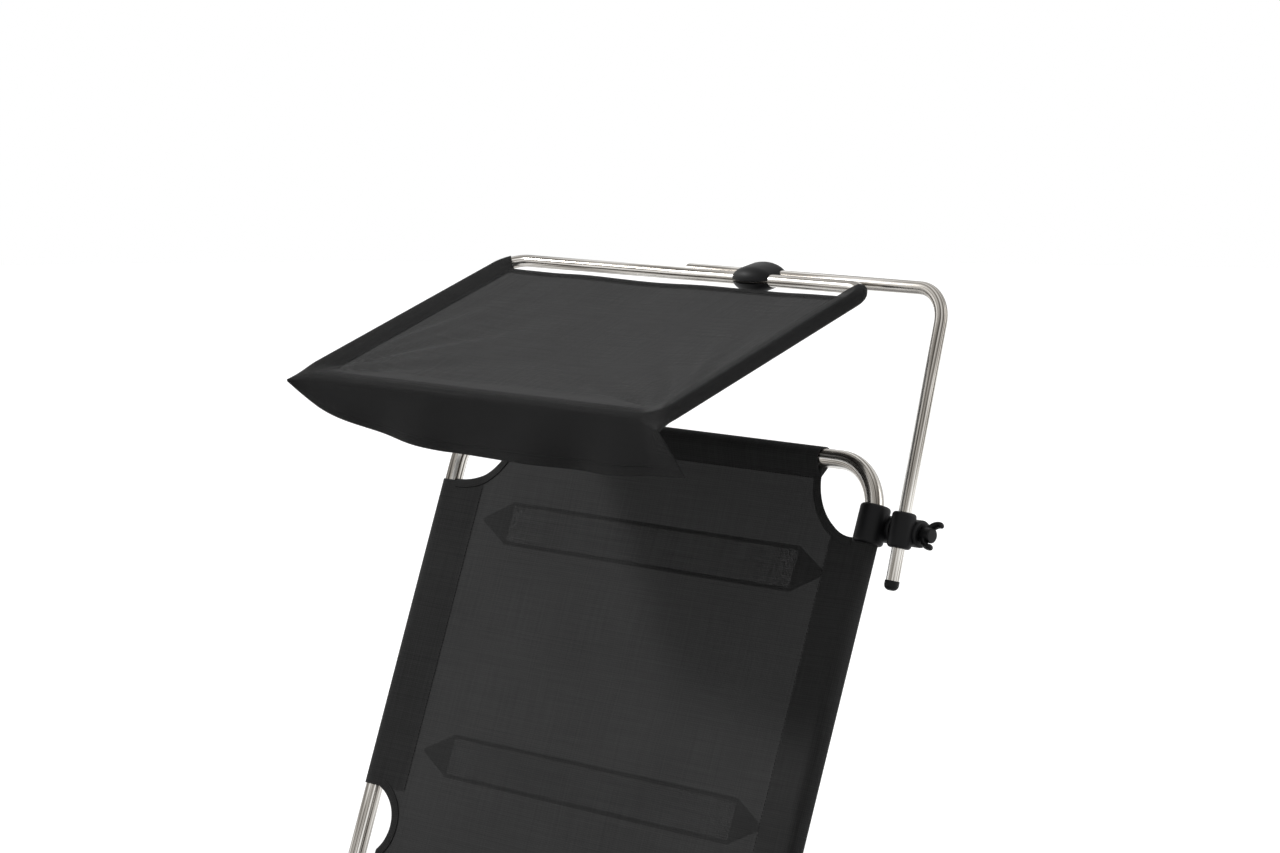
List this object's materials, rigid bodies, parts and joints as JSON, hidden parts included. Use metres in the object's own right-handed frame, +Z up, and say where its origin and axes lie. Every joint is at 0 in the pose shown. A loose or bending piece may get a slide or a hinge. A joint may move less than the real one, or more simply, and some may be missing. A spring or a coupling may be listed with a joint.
{
  "type": "sun lounger with canopy",
  "caption": "Folding tubular sun lounger with a mesh sling, reclining backrest, folding U legs and a clip-on canopy on an L-shaped rod clamped to the backrest.",
  "frame": {"origin": "on the ground under the middle of the overall box", "axes": "+Y along the lounger towards the head end, +X across towards the side that carries the sunshade's rod, +Z up"},
  "size_m": [0.742, 1.5126, 1.051],
  "materials": {
    "frame_tube": "polished",
    "steel": "satin",
    "hinge_plastic": "matte",
    "black_plastic": "satin",
    "sling_mesh": "matte",
    "canopy_fabric": "matte"
  },
  "bodies": {
    "seat": {"seat_tube_left": "frame_tube", "seat_tube_right": "frame_tube", "sling_seat": "sling_mesh", "back_hinge_left_seat_half": "hinge_plastic", "back_hinge_left_pin": "steel", "foot_hinge_left_seat_half": "hinge_plastic", "foot_hinge_left_pin": "steel", "rear_leg_bracket_left": "steel", "middle_leg_bracket_left": "steel", "back_hinge_right_seat_half": "hinge_plastic", "back_hinge_right_pin": "steel", "foot_hinge_right_seat_half": "hinge_plastic", "foot_hinge_right_pin": "steel", "rear_leg_bracket_right": "steel", "middle_leg_bracket_right": "steel", "rear_leg_axle": "steel", "middle_leg_axle": "steel"},
    "backrest": {"back_tube": "frame_tube", "sling_back": "sling_mesh", "sling_band_upper": "sling_mesh", "sling_band_lower": "sling_mesh", "frame_clamp": "black_plastic", "clamp_bolt": "steel", "back_hinge_left_back_half": "hinge_plastic", "back_hinge_left_pawl": "steel", "back_hinge_right_back_half": "hinge_plastic", "back_hinge_right_pawl": "steel"},
    "foot_section": {"foot_tube": "frame_tube", "sling_foot": "sling_mesh", "foot_hinge_left_foot_half": "hinge_plastic", "front_leg_bracket_left": "steel", "foot_hinge_right_foot_half": "hinge_plastic", "front_leg_bracket_right": "steel", "front_leg_axle": "steel"},
    "rear_leg": {"rear_leg_tube": "frame_tube", "rear_leg_pad_left": "black_plastic", "rear_leg_pad_right": "black_plastic"},
    "middle_leg": {"middle_leg_tube": "frame_tube", "middle_leg_pad_left": "black_plastic", "middle_leg_pad_right": "black_plastic"},
    "front_leg": {"front_leg_tube": "frame_tube", "front_leg_pad_left": "black_plastic", "front_leg_pad_right": "black_plastic"},
    "rod_clamp": {"rod_clamp": "black_plastic"},
    "rod_end_cap": {"rod_end_cap": "black_plastic"},
    "canopy_rod": {"canopy_rod": "frame_tube"},
    "canopy_clip": {"canopy_clip": "black_plastic"},
    "canopy": {"canopy_frame": "frame_tube", "canopy_joint_plug": "steel", "canopy_cloth": "canopy_fabric"},
    "wing_knob": {"wing_knob": "black_plastic"}
  },
  "joints": [
    {"name": "back_recline", "type": "hinge", "parent": "seat", "child": "backrest", "pos_m": [-0.03035, 0.4957, 0.29], "axis": [1, 0, 0], "range_deg": [-70.1, 9.9]},
    {"name": "foot_fold", "type": "hinge", "parent": "seat", "child": "foot_section", "pos_m": [-0.03035, -0.1443, 0.29], "axis": [-1, 0, 0], "range_deg": [0, 155]},
    {"name": "rear_leg_fold", "type": "hinge", "parent": "seat", "child": "rear_leg", "pos_m": [-0.03035, 0.4057, 0.262], "axis": [-1, 0, 0], "range_deg": [0, 113]},
    {"name": "middle_leg_fold", "type": "hinge", "parent": "seat", "child": "middle_leg", "pos_m": [-0.03035, -0.0543, 0.262], "axis": [1, 0, 0], "range_deg": [0, 96]},
    {"name": "front_leg_fold", "type": "hinge", "parent": "foot_section", "child": "front_leg", "pos_m": [-0.03035, -0.6243, 0.262], "axis": [1, 0, 0], "range_deg": [0, 96]},
    {"name": "clamp_pivot", "type": "hinge", "parent": "backrest", "child": "rod_clamp", "pos_m": [-0.03035, 0.69515, 0.79103], "axis": [1, 0, 0], "range_deg": [-35, 20]},
    {"name": "rod_slide", "type": "slide", "parent": "rod_clamp", "child": "rod_end_cap", "axis": [0, 0.2639, 0.9646], "range_m": [-0.11, 0.022]},
    {"name": "rod_swivel", "type": "hinge", "parent": "rod_end_cap", "child": "canopy_rod", "pos_m": [0.33665, 0.67875, 0.79551], "axis": [0, 0.2639, 0.9646], "range_deg": [-15, 60]},
    {"name": "canopy_slide", "type": "slide", "parent": "canopy_rod", "child": "canopy_clip", "axis": [1, 0, 0], "range_m": [-0.08, 0.05]},
    {"name": "canopy_tilt", "type": "hinge", "parent": "canopy_clip", "child": "canopy", "pos_m": [-0.03435, 0.72952, 1.03718], "axis": [1, 0, 0], "range_deg": [-35, 30]},
    {"name": "wing_knob_turn", "type": "hinge", "parent": "backrest", "child": "wing_knob", "pos_m": [-0.03035, 0.69515, 0.79103], "axis": [1, 0, 0], "continuous": true}
  ]
}
